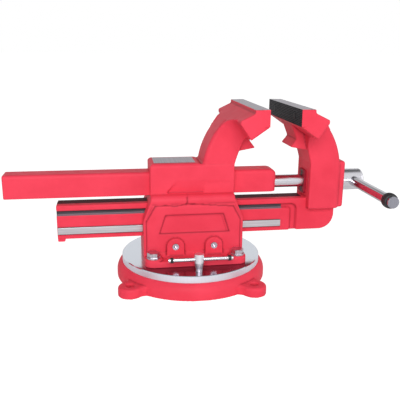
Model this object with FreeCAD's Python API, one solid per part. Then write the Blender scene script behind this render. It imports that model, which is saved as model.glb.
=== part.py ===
import FreeCAD, Part
import math
import os
from FreeCAD import Vector

# Heavy bench vise on a swivel base, in millimetres, +Z up.
# The origin is on the swivel axis, at the underside of the base.
# +X runs along the slide towards the moving jaw. The lock screw stands at the front, on -Y.

# Fits between pieces
flat_gap = 0.1           # sliding flats, each side
seat_gap = 0.05          # pieces of one body in their seats
running_gap = 0.05       # radius of a turning or sliding round fit
loose_gap = 0.3          # pieces that pass each other

# Base casting
base_side_slope = 7.1    # how much the foot of the side stands out
base_height = 24.6
base_rim_height = 8.0
base_rim_bulge = 2.4
lug_count = 4
base_turn = -6.0         # degrees that the lugs are turned against the jaws
lug_offset = 11.3        # hole circle outside the round base
lug_end_radius = 18.5
lug_blend_radius = 12.0
lug_root_depth = 1.5     # where the hollow flanks end inside the round base
lug_thickness = 15.0
lug_edge_radius = 4.0
lug_hole_radius = 6.5
recess_inner_radius = 34.0
recess_slot_wall = 8.0   # casting between the recess and the slot
recess_depth = 10.0

# Ring-shaped T-slot of the base, and the nut in it
lock_circle_radius = 93.0
slot_neck_width = 13.0
slot_neck_depth = 7.6
slot_width = 26.0
slot_wall = 6.6          # casting outside the slot
slot_depth = 16.6
lock_nut_size = 21.0
lock_nut_height = 7.5

# Swivel disc
disc_margin = 18.1       # disc outside the lock screw's circle
disc_thickness = 10.8
disc_gap = 0.2
disc_chamfer = 1.2

# Pivot bolt through base, disc and body
pivot_radius = 8.0
pivot_head_flats = 24.0
pivot_head_height = 10.0
pivot_counterbore_radius = 16.5
pivot_counterbore_depth = 12.0
pivot_washer_radius = 15.0
pivot_washer_thickness = 3.0
pivot_nut_height = 13.0
pivot_thread_end = 1.2
pivot_floor = 6.0        # casting under the washer
pivot_pocket_radius = 16.5

# Foot of the body and its four bolts
bolt_x = 65.0
bolt_y = 59.5
foot_corner_radius = 13.0
foot_thickness = 9.0
foot_blend = 12.0        # hollow slope between the foot and the walls
bolt_boss_rise = 3.0
bolt_radius = 5.0
bolt_head_flats = 17.0
bolt_head_height = 7.0
bolt_washer_radius = 10.5
bolt_washer_thickness = 2.2
bolt_spot_radius = 12.0

# Walls of the body
body_centre_x = -1.0
body_half_length = 77.7
body_half_width = 44.0
shoulder_low = 65.4      # start of the end slopes, above the disc
shoulder_high = 98.0
upper_left = 65.5        # upper block, from the body's centre
upper_right = 64.5
upper_width_margin = 1.0  # upper block wider than the arm, each side
ledge_rise = 90.0        # ledge on the sides, above the disc
roll_radius = 8.6        # rounded roll that lies on the ledge
roll_inset = 8.0         # its axis, behind the wall's face
roll_rise = 5.4          # and above the ledge
waist_height = 23.0
waist_depth = 5.0
waist_left = 45.0
waist_lean = 19.0
panel_border = 5.7
panel_thickness = 1.5
panel_top_inset = 10.0
panel_top_margin = 1.5
panel_slope_height = 20.7
plaque_half_top = 44.0
plaque_half_bottom = 53.0
plaque_height = 27.3
plaque_drop = 15.0       # from the panel's top edge
plaque_depth = 1.2

# Slide bar
slide_rise = 33.7        # underside of the slide above the disc
slide_height = 53.7
slide_half_width = 18.0
slide_length = 445.0
slide_overhang = 87.5    # right end, behind the moving jaw's face
slide_corner_radius = 24.5
side_relief = 0.8        # cast sides lie behind the machined ways
groove_low = 37.8        # groove, above the underside
groove_height = 7.0
groove_depth = 3.5
groove_turn_left = 12.6  # where the groove turns down, behind the moving face
groove_turn_right = 24.2
groove_inner_radius = 4.5
groove_outer_radius = 9.0
rail_gap = 0.4
way_low = 7.4
way_height = 11.2
way_overhang = 3.0       # right end of the way, before the moving face
stop_length = 11.5
stop_half_width = 16.5
stop_height = 4.2
stop_edge_radius = 2.0
stop_screw_radius = 3.0
stop_screw_head_radius = 5.4
stop_screw_length = 18.0

# Adjustable strip under the slide, with its screws
gib_thickness = 10.0
gib_half_width = 16.0
gib_bevel = 5.0
gib_wall = 12.0          # wall of the body that stops the strip and the slide stop
gib_screw_radius = 5.0
gib_screw_x = 30.0
gib_screw_rise = 24.6    # screw axis above the disc
gib_boss_radius = 13.5
gib_boss_reach = 6.5
gib_screw_socket = 5.0

# Spindle, its nut and its cover
spindle_rise = 25.3      # axis above the slide's top
spindle_radius = 10.25
thread_radius = 9.9
thread_right = 100.0
thread_left = -155.0
nut_left = -30.0
nut_right = 20.0
guard_half_width = 18.0
guard_below = 13.3       # underside, below the spindle's axis
guard_above = 23.2
guard_left = -285.5
guard_wall = 6.5
guard_end_wall = 6.0
guard_nose_radius = 11.5
guard_edge_radius = 5.0
nose_margin = 0.7
housing_screw_radius = 4.0
housing_screw_depth = 4.0
rear_screw_x = -48.0
nut_screw_x = -5.0
front_screw_x = 42.0

# Anvil
anvil_rise = 38.7        # above the spindle's axis
anvil_pad_left = -60.0
anvil_pad_right = 4.0
anvil_pad_half_width = 23.0
anvil_pad_height = 0.6
anvil_edge = 3.5
anvil_groove_radius = 4.0

# Jaws. Distances "behind" are measured from the jaw's face, away from the opening
fixed_face_x = 102.4
opening = 45.6
jaw_half_width = 87.5
jaw_rise = 124.5         # top of the jaws above the spindle's axis
strip_width = 22.0       # flat top of the jaw
strip_step = 5.5
head_depth = 43.4
head_back_top = 15.8     # below the jaw's top
head_back_bottom = 20.8
head_root_behind = 27.0
head_root_drop = 43.8
plate_thickness = 9.0
plate_height = 25.0
plate_pin_y = 52.0       # pins ground flush with the plate's face
plate_pin_radius = 5.0
plate_pin_length = 24.0

# Arms under the jaw heads
saddle_wall = 13.0       # arm beside the slide
arm_front = 38.5         # throat side, behind the face
arm_back = 89.0
arm_back_drop = 105.5    # where the back starts to lean forward, below the top
arm_back_radius = 120.0
arm_back_sweep = 60.0    # degrees of the back's arc, past the head
arm_throat_drop = 89.8
arm_throat_mid = 32.4
arm_throat_mid_drop = 68.8
arm_edge_radius = 6.0
cove_radius = 30.0

# V-shaped pipe jaws under the heads
pipe_half_width = 26.0
pipe_top_behind = 4.5
pipe_notch_behind = 15.0
pipe_notch_drop = 52.8
pipe_tip_behind = 5.5
pipe_tip_drop = 64.8
pipe_root_behind = 36.0
pipe_root_drop = 70.3

# Neck of the moving jaw
neck_bottom = 37.7       # above the slide's underside
front_boss_thickness = 9.0
front_boss_half_width = 28.0
front_boss_above = 35.7  # above the spindle's axis
front_boss_radius = 4.0
slide_screw_radius = 5.0
slide_screw_head_radius = 8.0
slide_screw_head_height = 10.0
slide_screw_sink = 1.0
slide_screw_grip = 11.5  # thread in the jaw
slide_screw_end_gap = 0.5
slide_screw_socket_radius = 4.0
slide_screw_behind = (52.0, 74.0)

# Keeper that holds the spindle in the neck, with its two screws
keeper_half_width = 13.0
keeper_half_height = 19.0
keeper_thickness = 3.4
keeper_groove_radius = 8.5
keeper_edge_radius = 3.0
keeper_screw_offset = 13.9
keeper_screw_radius = 2.1
keeper_screw_head_radius = 4.2
keeper_screw_length = 10.0
keeper_slot_width = 1.2

# Spindle's washer and head
thrust_washer_radius = 17.0
thrust_washer_thickness = 2.2
head_radius = 17.5
head_length = 36.0
head_edge_radius = 5.0
handle_hole_place = 18.4  # hole's axis from the head's left end

# Handle bar
handle_radius = 8.0
handle_half_length = 151.6
handle_ring_radius = 11.3
handle_ring_length = 13.0
handle_cap_radius = 8.6
handle_cap_length = 6.0
handle_cap_bore = 4.0
handle_cap_wall = 1.5

# Lock screw and its bar
lock_radius = 5.15
lock_head_radius = 7.3
lock_head_height = 28.0
lock_taper_low = 5.4
lock_taper_high = 14.8
lock_bar_radius = 3.0
lock_bar_rise = 19.6
lock_bar_half_length = 48.3
lock_bar_shift = 2.6
lock_ring_radius = 4.3
lock_ring_length = 4.2
lock_tip_radius = 3.4
lock_tip_length = 3.0
lock_tip_bore = 1.8
lock_tip_wall = 0.8

# Levels and places that follow from the sizes above
disc_radius = lock_circle_radius + disc_margin
base_top_radius = lock_circle_radius + slot_width / 2 + slot_wall
base_radius = base_top_radius + base_side_slope
lug_circle_radius = base_radius + lug_offset
recess_outer_radius = lock_circle_radius - slot_width / 2 - recess_slot_wall
disc_bottom = base_height + disc_gap
disc_top = disc_bottom + disc_thickness
foot_top = disc_top + foot_thickness
bolt_seat = foot_top + bolt_boss_rise
slide_bottom = disc_top + slide_rise
slide_top = slide_bottom + slide_height
spindle_z = slide_top + spindle_rise
guard_bottom = spindle_z - guard_below
guard_top = spindle_z + guard_above
anvil_top = spindle_z + anvil_rise
jaw_top = spindle_z + jaw_rise
moving_face_x = fixed_face_x + opening
neck_left = moving_face_x + arm_front
neck_right = moving_face_x + arm_back
boss_right = neck_right + front_boss_thickness
slide_right = moving_face_x + slide_overhang
slide_left = slide_right - slide_length
arm_half_width = slide_half_width + saddle_wall
upper_half_width = arm_half_width + upper_width_margin
upper_left_x = body_centre_x - upper_left
upper_right_x = body_centre_x + upper_right
gib_bottom = slide_bottom - flat_gap - gib_thickness
gib_left = body_centre_x - body_half_length + gib_wall
pivot_washer_bottom = disc_top + pivot_floor
pivot_nut_bottom = pivot_washer_bottom + pivot_washer_thickness
pivot_end = pivot_nut_bottom + pivot_nut_height + pivot_thread_end
slot_floor = base_height - slot_depth
slot_shoulder = base_height - slot_neck_depth
keeper_left = neck_left - keeper_thickness
guard_right = keeper_left - opening - loose_gap - nose_margin
head_left = boss_right + thrust_washer_thickness + 2 * loose_gap
handle_x = head_left + handle_hole_place
lock_bar_z = disc_top + lock_bar_rise
panel_top = disc_top + ledge_rise - panel_top_margin


def box(x_low, x_high, y_low, y_high, z_low, z_high):
    corner = Vector(x_low, y_low, z_low)
    return Part.makeBox(x_high - x_low, y_high - y_low, z_high - z_low, corner)


def rod(start, end, radius):
    """A cylinder between two points."""
    along = Vector(*end) - Vector(*start)
    return Part.makeCylinder(radius, along.Length, Vector(*start), along)


def ring(start, end, outer, inner):
    return rod(start, end, outer).cut(rod(start, end, inner))


def cone(start, end, start_radius, end_radius):
    along = Vector(*end) - Vector(*start)
    return Part.makeCone(start_radius, end_radius, along.Length, Vector(*start), along)


def hexagon(across_flats, x, y, z_low, height):
    """A hexagonal head or nut that stands upright."""
    corner_radius = across_flats / math.sqrt(3)
    corners = []
    for step in range(7):
        turn = math.radians(60 * step)
        corners.append(Vector(x + corner_radius * math.cos(turn), y + corner_radius * math.sin(turn), z_low))
    return Part.Face(Part.makePolygon(corners)).extrude(Vector(0, 0, height))


def prism(points, y_low, y_high):
    """A closed outline of (x, z) points, extruded along Y."""
    corners = [Vector(x, y_low, z) for x, z in points]
    corners.append(corners[0])
    return Part.Face(Part.makePolygon(corners)).extrude(Vector(0, y_high - y_low, 0))


def long_prism(points, x_low, x_high):
    """A closed outline of (y, z) points, extruded along X."""
    corners = [Vector(x_low, y, z) for y, z in points]
    corners.append(corners[0])
    return Part.Face(Part.makePolygon(corners)).extrude(Vector(x_high - x_low, 0, 0))


def fuse_all(shapes):
    return shapes[0].fuse(list(shapes[1:])).removeSplitter()


def cut_all(shape, tools):
    for tool in tools:
        shape = shape.cut(tool)
    return shape


def rounded(shape, radius, wanted):
    """Rounds the edges for which wanted(edge) is true."""
    return shape.makeFillet(radius, [edge for edge in shape.Edges if wanted(edge)])


def bevelled(shape, size, wanted):
    return shape.makeChamfer(size, [edge for edge in shape.Edges if wanted(edge)])


def near(value, target):
    return abs(value - target) < 0.01


def flat_at(edge, z):
    """True for an edge that lies wholly at height z."""
    return near(edge.BoundBox.ZMin, z) and near(edge.BoundBox.ZMax, z)


def save(name, shape):
    shape.exportStep("parts/" + name + ".step")


def lug():
    """One bolt lug, along +X, with hollow flanks that run into the round base."""
    root_radius = base_radius - lug_root_depth
    to_blend = root_radius + lug_blend_radius
    end_to_blend = lug_end_radius + lug_blend_radius
    blend_x = (to_blend ** 2 - end_to_blend ** 2 + lug_circle_radius ** 2) / (2 * lug_circle_radius)
    blend_y = math.sqrt(to_blend ** 2 - blend_x ** 2)
    centre = Vector(blend_x, blend_y, 0)
    hole = Vector(lug_circle_radius, 0, 0)
    root = centre * (root_radius / to_blend)
    tip = hole + (centre - hole) * (lug_end_radius / end_to_blend)
    middle = centre + ((root - centre) + (tip - centre)).normalize() * lug_blend_radius
    inner = root * 0.85

    def low_side(point):
        return Vector(point.x, -point.y, 0)

    edges = [
        Part.makeLine(inner, root),
        Part.Arc(root, middle, tip).toShape(),
        Part.Arc(tip, hole + Vector(lug_end_radius, 0, 0), low_side(tip)).toShape(),
        Part.Arc(low_side(tip), low_side(middle), low_side(root)).toShape(),
        Part.makeLine(low_side(root), low_side(inner)),
        Part.makeLine(low_side(inner), inner),
    ]
    solid = Part.Face(Part.Wire(edges)).extrude(Vector(0, 0, lug_thickness))
    solid = rounded(solid, lug_edge_radius, lambda e: flat_at(e, lug_thickness) and len(e.Vertexes) == 2
                    and e.Curve.TypeId == "Part::GeomCircle")
    return solid


def turned(shape, degrees):
    copy = shape.copy()
    copy.rotate(Vector(0, 0, 0), Vector(0, 0, 1), degrees)
    return copy


def flat_ring(inner, outer, z_low, z_high):
    return ring((0, 0, z_low), (0, 0, z_high), outer, inner)


def base_casting():
    side_middle = Vector((base_radius + base_top_radius) / 2 + base_rim_bulge, 0,
                         (base_rim_height + base_height) / 2)
    rim_start = Vector(base_radius, 0, base_rim_height)
    rim_end = Vector(base_top_radius, 0, base_height)
    outline = Part.Wire([
        Part.makeLine(Vector(0, 0, 0), Vector(base_radius, 0, 0)),
        Part.makeLine(Vector(base_radius, 0, 0), rim_start),
        Part.Arc(rim_start, side_middle, rim_end).toShape(),
        Part.makeLine(rim_end, Vector(0, 0, base_height)),
        Part.makeLine(Vector(0, 0, base_height), Vector(0, 0, 0)),
    ])
    casting = Part.Face(outline).revolve(Vector(0, 0, 0), Vector(0, 0, 1), 360)
    first = base_turn + 45
    turns = [first + 360 / lug_count * number for number in range(lug_count)]
    casting = fuse_all([casting] + [turned(lug(), turn) for turn in turns])
    hole = rod((lug_circle_radius, 0, 0), (lug_circle_radius, 0, lug_thickness), lug_hole_radius)
    slot_middle = slot_neck_width / 2
    entry = slot_width / 2
    tools = [
        flat_ring(lock_circle_radius - slot_middle, lock_circle_radius + slot_middle,
                  slot_shoulder, base_height),
        flat_ring(lock_circle_radius - entry, lock_circle_radius + entry, slot_floor, slot_shoulder),
        box(-entry, entry, lock_circle_radius - entry, lock_circle_radius + entry, slot_floor, base_height),
        flat_ring(recess_inner_radius, recess_outer_radius, 0, recess_depth),
        rod((0, 0, 0), (0, 0, base_height), pivot_radius + running_gap),
        rod((0, 0, 0), (0, 0, pivot_counterbore_depth), pivot_counterbore_radius),
    ]
    for turn in turns:
        tools.append(turned(hole, turn))
    return cut_all(casting, tools)


def corner_places():
    return [(side_x * bolt_x, side_y * bolt_y) for side_x in (-1, 1) for side_y in (-1, 1)]


def swivel_disc():
    disc = rod((0, 0, disc_bottom), (0, 0, disc_top), disc_radius)
    disc = bevelled(disc, disc_chamfer, lambda e: flat_at(e, disc_top))
    tools = [rod((0, 0, disc_bottom), (0, 0, disc_top), pivot_radius + running_gap)]
    for x, y in corner_places():
        tools.append(rod((x, y, disc_bottom), (x, y, disc_top), bolt_radius + seat_gap))
    tools.append(rod((0, -lock_circle_radius, disc_bottom), (0, -lock_circle_radius, disc_top),
                     lock_radius + loose_gap))
    return cut_all(disc, tools)


def pivot_bolt():
    head_top = pivot_counterbore_depth - loose_gap
    head = hexagon(pivot_head_flats, 0, 0, head_top - pivot_head_height, pivot_head_height)
    return head.fuse(rod((0, 0, head_top), (0, 0, pivot_end), pivot_radius)).removeSplitter()


def pivot_washer():
    return ring((0, 0, pivot_washer_bottom), (0, 0, pivot_nut_bottom), pivot_washer_radius,
                pivot_radius + seat_gap)


def pivot_nut():
    nut = hexagon(pivot_head_flats, 0, 0, pivot_nut_bottom, pivot_nut_height)
    return nut.cut(rod((0, 0, pivot_nut_bottom), (0, 0, pivot_end), pivot_radius + seat_gap))


def lock_nut():
    half = lock_nut_size / 2
    nut_top = slot_shoulder - loose_gap
    nut = box(-half, half, -lock_circle_radius - half, -lock_circle_radius + half,
              nut_top - lock_nut_height, nut_top)
    axis_low = (0, -lock_circle_radius, nut_top - lock_nut_height)
    return nut.cut(rod(axis_low, (0, -lock_circle_radius, nut_top), lock_radius + running_gap))


def foot_plan(z_low, z_high):
    """The foot's outline with round corners about the bolts, as a column."""
    reach_x = bolt_x + foot_corner_radius
    reach_y = bolt_y + foot_corner_radius
    block = box(-reach_x, reach_x, -reach_y, reach_y, z_low, z_high)
    return rounded(block, foot_corner_radius, lambda e: e.BoundBox.ZLength > 1)


def foot():
    """Flat foot with a boss at each bolt and a hollow slope up to the walls."""
    pieces = [foot_plan(disc_top, foot_top)]
    for x, y in corner_places():
        pieces.append(rod((x, y, disc_top), (x, y, bolt_seat), foot_corner_radius))
    slopes = []
    for side in (-1, 1):
        wall = Vector(-bolt_x, side * body_half_width, foot_top + foot_blend)
        floor = Vector(-bolt_x, side * (body_half_width + foot_blend), foot_top)
        inside = Vector(-bolt_x, side * (body_half_width - foot_blend), foot_top)
        swell = foot_blend * (1 - math.sqrt(0.5))
        hollow = Vector(-bolt_x, side * (body_half_width + swell), foot_top + swell)
        outline = Part.Wire([
            Part.Arc(wall, hollow, floor).toShape(),
            Part.makeLine(floor, inside),
            Part.makeLine(inside, Vector(-bolt_x, side * (body_half_width - foot_blend), wall.z)),
            Part.makeLine(Vector(-bolt_x, side * (body_half_width - foot_blend), wall.z), wall),
        ])
        slopes.append(Part.Face(outline).extrude(Vector(2 * bolt_x, 0, 0)))
    return fuse_all(pieces + slopes)


def lower_walls():
    """Walls around the slide, with sloped ends and a rounded roll along the ledge of each side."""
    left = body_centre_x - body_half_length
    right = body_centre_x + body_half_length
    shoulder = disc_top + shoulder_low
    top = disc_top + shoulder_high
    ledge = disc_top + ledge_rise
    crown = max(top, ledge + roll_rise + roll_radius) + 1
    outline = [(left, disc_top), (right, disc_top), (right, shoulder), (upper_right_x, top),
               (upper_right_x, crown), (upper_left_x, crown), (upper_left_x, top), (left, shoulder)]
    profile = prism(outline, -body_half_width - 1, body_half_width + 1)
    pieces = [box(left, right, -body_half_width, body_half_width, disc_top, ledge),
              box(left, right, -upper_half_width, upper_half_width, ledge, crown)]
    for side in (-1, 1):
        y = side * (body_half_width - roll_inset)
        z = ledge + roll_rise
        pieces.append(rod((left, y, z), (right, y, z), roll_radius))
    return fuse_all(pieces).common(profile)


def upper_block():
    """Block under the anvil, narrowed to a waist on both sides."""
    z_low = disc_top + ledge_rise
    z_high = anvil_top - anvil_pad_height
    half = upper_half_width
    side_view = [(upper_left_x, z_low), (upper_right_x, z_low), (upper_right_x, z_high),
                 (upper_left_x + anvil_edge, z_high), (upper_left_x, z_high - anvil_edge)]
    end_view = [(-half, z_low), (half, z_low), (half, z_high - anvil_edge), (half - anvil_edge, z_high),
                (-half + anvil_edge, z_high), (-half, z_high - anvil_edge)]
    block = prism(side_view, -half, half).common(long_prism(end_view, upper_left_x, upper_right_x))
    waist_low = z_low + (body_half_width - upper_half_width)
    waist_high = waist_low + waist_height
    slanted = prism([(-waist_left, waist_low), (-waist_left + waist_lean, waist_high),
                     (upper_right_x + 1, waist_high), (upper_right_x + 1, waist_low)],
                    -body_half_width, body_half_width)
    tools = []
    for side in (-1, 1):
        hollow = [(side * (upper_half_width - waist_depth), waist_low), (side * upper_half_width, waist_high),
                  (side * body_half_width, waist_high), (side * body_half_width, waist_low)]
        tools.append(long_prism(hollow, -waist_left, upper_right_x + 1).common(slanted))
    return cut_all(block, tools)


def side_panel(side):
    """Raised panel with a bare recessed plaque, on the front or the back wall."""
    half = body_half_length - panel_border
    outline = [(-half, foot_top + foot_blend / 2), (half, foot_top + foot_blend / 2),
               (half, panel_top - panel_slope_height), (half - panel_top_inset, panel_top),
               (-half + panel_top_inset, panel_top), (-half, panel_top - panel_slope_height)]
    plaque_top = panel_top - plaque_drop
    plaque_bottom = plaque_top - plaque_height
    plaque = [(-plaque_half_bottom, plaque_bottom), (plaque_half_bottom, plaque_bottom),
              (plaque_half_top, plaque_top), (-plaque_half_top, plaque_top)]
    front = side * (body_half_width + panel_thickness)
    back = side * (body_half_width - 1)
    low, high = sorted((front, back))
    panel = prism([(x + body_centre_x, z) for x, z in outline], low, high)
    sunk = front - side * plaque_depth
    low, high = sorted((sunk, front + side))
    return panel.cut(prism([(x + body_centre_x, z) for x, z in plaque], low, high))


def gib_boss(x):
    """Arched boss round one adjusting screw."""
    z = disc_top + gib_screw_rise
    y_front = -body_half_width - gib_boss_reach
    y_back = -body_half_width + 1
    arch = rod((x, y_front, z), (x, y_back, z), gib_boss_radius)
    leg = box(x - gib_boss_radius, x + gib_boss_radius, y_front, y_back, foot_top, z)
    return arch.fuse(leg).removeSplitter()


def in_u(face_x, direction, points):
    """Turns (behind the face, below the jaw's top) into (x, z)."""
    return [(face_x + direction * behind, jaw_top - drop) for behind, drop in points]


def head_outline(face_x, direction):
    return in_u(face_x, direction, [
        (0, 0), (strip_width, 0), (strip_width, strip_step), (head_depth, head_back_top),
        (head_depth, head_back_bottom), (head_root_behind, head_root_drop), (0, plate_height)])


def back_form(face_x, direction, drop_low, half_width, edge_radius):
    """Solid whose back is the arm's leaning back, with its two long edges rounded."""
    sweep = math.radians(arm_back_sweep)

    def on_arc(angle):
        return (arm_back - arm_back_radius * (1 - math.cos(angle)),
                arm_back_drop - arm_back_radius * math.sin(angle))

    outline = in_u(face_x, direction, [
        (0, drop_low), (arm_back, drop_low), (arm_back, arm_back_drop), on_arc(sweep / 2), on_arc(sweep),
        (0, on_arc(sweep)[1])])
    points = [Vector(x, -half_width, z) for x, z in outline]
    edges = [
        Part.makeLine(points[0], points[1]),
        Part.makeLine(points[1], points[2]),
        Part.Arc(points[2], points[3], points[4]).toShape(),
        Part.makeLine(points[4], points[5]),
        Part.makeLine(points[5], points[0]),
    ]
    form = Part.Face(Part.Wire(edges)).extrude(Vector(0, 2 * half_width, 0))
    back_x = face_x + direction * arm_back

    def on_back(edge):
        box_of = edge.BoundBox
        upright = near(box_of.XMin, back_x) and near(box_of.XMax, back_x)
        leaning = edge.Curve.TypeId == "Part::GeomCircle"
        return box_of.YLength < 1 and (upright or leaning)

    return rounded(form, edge_radius, on_back)


def arm_column(face_x, direction, drop_low, half_width, edge_radius):
    """The arm: throat side, root in the head, and the back that leans forward."""
    slope = (head_back_top - strip_step) / (head_depth - strip_width)
    beyond = arm_back + strip_width
    outline = in_u(face_x, direction, [
        (arm_front, drop_low), (arm_front, arm_throat_drop), (arm_throat_mid, arm_throat_mid_drop),
        (head_root_behind, head_root_drop), (strip_width, strip_step),
        (beyond, strip_step + slope * (beyond - strip_width)), (beyond, drop_low)])
    column = prism(outline, -half_width, half_width)
    return column.common(back_form(face_x, direction, drop_low, half_width, edge_radius))


def cove_fills(face_x, direction, drop_low):
    """Hollow blends between the wide head's back facet and the narrow arm, on both sides."""
    root = Vector(face_x + direction * head_root_behind, 0, jaw_top - head_root_drop)
    back = Vector(face_x + direction * head_depth, 0, jaw_top - head_back_bottom)
    along = (back - root).normalize()
    outward = Vector(direction * abs(along.z), 0, -abs(along.x))
    reach = 2 * head_depth
    envelope = arm_column(face_x, direction, drop_low, jaw_half_width, arm_edge_radius)
    fills = []
    for side in (-1, 1):
        start = root - along * reach
        corners = [Vector(start.x, side * (arm_half_width - 1), start.z) - outward * 1,
                   Vector(start.x, side * (arm_half_width - 1), start.z) + outward * cove_radius,
                   Vector(start.x, side * (arm_half_width + cove_radius), start.z) + outward * cove_radius,
                   Vector(start.x, side * (arm_half_width + cove_radius), start.z) - outward * 1]
        corners.append(corners[0])
        block = Part.Face(Part.makePolygon(corners)).extrude(along * (2 * reach))
        axis_start = Vector(start.x, side * (arm_half_width + cove_radius), start.z) + outward * cove_radius
        scoop = Part.makeCylinder(cove_radius, 2 * reach, axis_start, along)
        fills.append(block.cut(scoop).common(envelope))
    return fills


def pipe_jaw(face_x, direction):
    outline = in_u(face_x, direction, [
        (pipe_top_behind, plate_height + 2), (pipe_notch_behind, pipe_notch_drop),
        (pipe_tip_behind, pipe_tip_drop), (pipe_root_behind, pipe_root_drop),
        (pipe_root_behind + 6, pipe_root_drop), (pipe_root_behind + 6, head_root_drop),
        (head_root_behind, plate_height + 2)])
    return prism(outline, -pipe_half_width, pipe_half_width)


def jaw_end(face_x, direction, drop_low):
    """Jaw head, arm, blends and pipe jaw of one jaw, with the seat of its plate cut out."""
    head = prism(head_outline(face_x, direction), -jaw_half_width, jaw_half_width)
    column = arm_column(face_x, direction, drop_low, arm_half_width, arm_edge_radius)
    solid = fuse_all([head, column, pipe_jaw(face_x, direction)] + cove_fills(face_x, direction, drop_low))
    low, high = sorted((face_x - direction, face_x + direction * plate_thickness))
    seat_bottom = jaw_top - plate_height
    tools = [box(low, high, -jaw_half_width - 1, jaw_half_width + 1, seat_bottom, jaw_top + 1)]
    tools += plate_pin_holes(face_x, direction)
    return cut_all(solid, tools)


def plate_pin(face_x, direction, y, radius, length):
    z = jaw_top - plate_height / 2
    return rod((face_x, y, z), (face_x + direction * length, y, z), radius)


def plate_pin_holes(face_x, direction):
    return [plate_pin(face_x, direction, y, plate_pin_radius + seat_gap, plate_pin_length + 1)
            for y in (-plate_pin_y, plate_pin_y)]


def plate_pins(face_x, direction):
    return Part.makeCompound([plate_pin(face_x, direction, y, plate_pin_radius, plate_pin_length)
                              for y in (-plate_pin_y, plate_pin_y)])


def jaw_plate(face_x, direction):
    low, high = sorted((face_x, face_x + direction * (plate_thickness - seat_gap)))
    plate = box(low, high, -jaw_half_width, jaw_half_width, jaw_top - plate_height + seat_gap, jaw_top)
    return cut_all(plate, plate_pin_holes(face_x, direction))


def slide_channel():
    """Way through the body for the slide, with a rail for each of its grooves."""
    half = slide_half_width + flat_gap
    far = body_half_length + abs(body_centre_x) + 1
    channel = box(-far, far, -half, half, slide_bottom - flat_gap, slide_top + flat_gap)
    rail_low = slide_bottom + groove_low + rail_gap
    rail_high = rail_low + groove_height - 2 * rail_gap
    rail_edge = slide_half_width - side_relief - groove_depth + rail_gap
    rails = [box(upper_left_x, upper_right_x, -half, -rail_edge, rail_low, rail_high),
             box(upper_left_x, upper_right_x, rail_edge, half, rail_low, rail_high)]
    return cut_all(channel, rails)


def gib_screw_tip_y():
    """Place of the screw's point, where its cone lies on the strip's bevel."""
    bevel_offset = gib_bottom + gib_bevel - gib_half_width
    axis_z = disc_top + gib_screw_rise
    return bevel_offset - axis_z - 3 * running_gap


def fixed_jaw_body():
    drop_low = jaw_top - (spindle_z - guard_below)
    pieces = [lower_walls(), upper_block(), foot()]
    pieces += [side_panel(-1), side_panel(1)]
    pieces += [gib_boss(-gib_screw_x), gib_boss(gib_screw_x)]
    pieces.append(box(anvil_pad_left, anvil_pad_right, -anvil_pad_half_width, anvil_pad_half_width,
                      anvil_top - 2 * anvil_pad_height, anvil_top))
    body = fuse_all(pieces)
    tools = []
    for x, y in corner_places():
        tools.append(rod((x, y, bolt_seat), (x, y, slide_bottom), bolt_spot_radius))
        tools.append(rod((x, y, disc_top), (x, y, bolt_seat), bolt_radius + seat_gap))
    groove_x = anvil_pad_right + 2 * anvil_groove_radius
    tools.append(rod((groove_x, -body_half_width, anvil_top + anvil_groove_radius / 2),
                     (groove_x, body_half_width, anvil_top + anvil_groove_radius / 2), anvil_groove_radius))
    body = cut_all(body, tools)
    body = body.fuse(jaw_end(fixed_face_x, -1, drop_low)).removeSplitter()
    return cut_all(body, body_hollows())


def body_hollows():
    """Everything that is cut through the finished body for the pieces that it holds."""
    far = 2 * body_half_length
    screw_z = disc_top + gib_screw_rise
    housing_half = guard_half_width + seat_gap
    tools = [
        slide_channel(),
        box(gib_left, far, -gib_half_width - flat_gap, gib_half_width + flat_gap,
            gib_bottom - seat_gap, slide_bottom),
        box(-far, far, -housing_half, housing_half, guard_bottom - seat_gap, guard_top + seat_gap),
        rod((0, 0, pivot_washer_bottom), (0, 0, slide_bottom), pivot_pocket_radius),
        rod((0, 0, disc_top), (0, 0, pivot_washer_bottom), pivot_radius + seat_gap),
    ]
    for x in (-gib_screw_x, gib_screw_x):
        tools.append(rod((x, -body_half_width - gib_boss_reach, screw_z), (x, gib_screw_tip_y() + 1, screw_z),
                         gib_screw_radius + seat_gap))
    for x in (rear_screw_x, nut_screw_x, front_screw_x):
        tools.append(rod((x, 0, spindle_z), (x, upper_half_width, spindle_z),
                         housing_screw_radius + seat_gap))
    return tools


def body_bolts():
    bolts = []
    for x, y in corner_places():
        seat = bolt_seat + bolt_washer_thickness
        head = hexagon(bolt_head_flats, x, y, seat, bolt_head_height)
        top = seat + bolt_head_height
        crown = cone((x, y, top - bolt_head_height), (x, y, top + bolt_head_height / 2),
                     bolt_head_flats, bolt_head_flats / 4)
        head = head.common(crown)
        shank = rod((x, y, disc_bottom + loose_gap), (x, y, seat), bolt_radius)
        bolts.append(head.fuse(shank).removeSplitter())
    return Part.makeCompound(bolts)


def body_washers():
    washers = []
    for x, y in corner_places():
        washers.append(ring((x, y, bolt_seat), (x, y, bolt_seat + bolt_washer_thickness),
                            bolt_washer_radius, bolt_radius + seat_gap))
    return Part.makeCompound(washers)


def guard_beam(x_low, x_high):
    """Cover of the spindle: an upturned U with a round inside, open below."""
    beam = box(x_low, x_high, -guard_half_width, guard_half_width, guard_bottom, guard_top)
    return rounded(beam, guard_edge_radius, lambda e: near(e.BoundBox.ZMin, guard_top)
                   and e.BoundBox.XLength > 1)


def guard_channel(x_low, x_high):
    inner = guard_half_width - guard_wall
    bore = rod((x_low, 0, spindle_z), (x_high, 0, spindle_z), inner)
    return bore.fuse(box(x_low, x_high, -inner, inner, guard_bottom, spindle_z))


def housing_screw_seat(x):
    return rod((x, guard_half_width - housing_screw_depth, spindle_z), (x, guard_half_width, spindle_z),
               housing_screw_radius + seat_gap)


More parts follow.
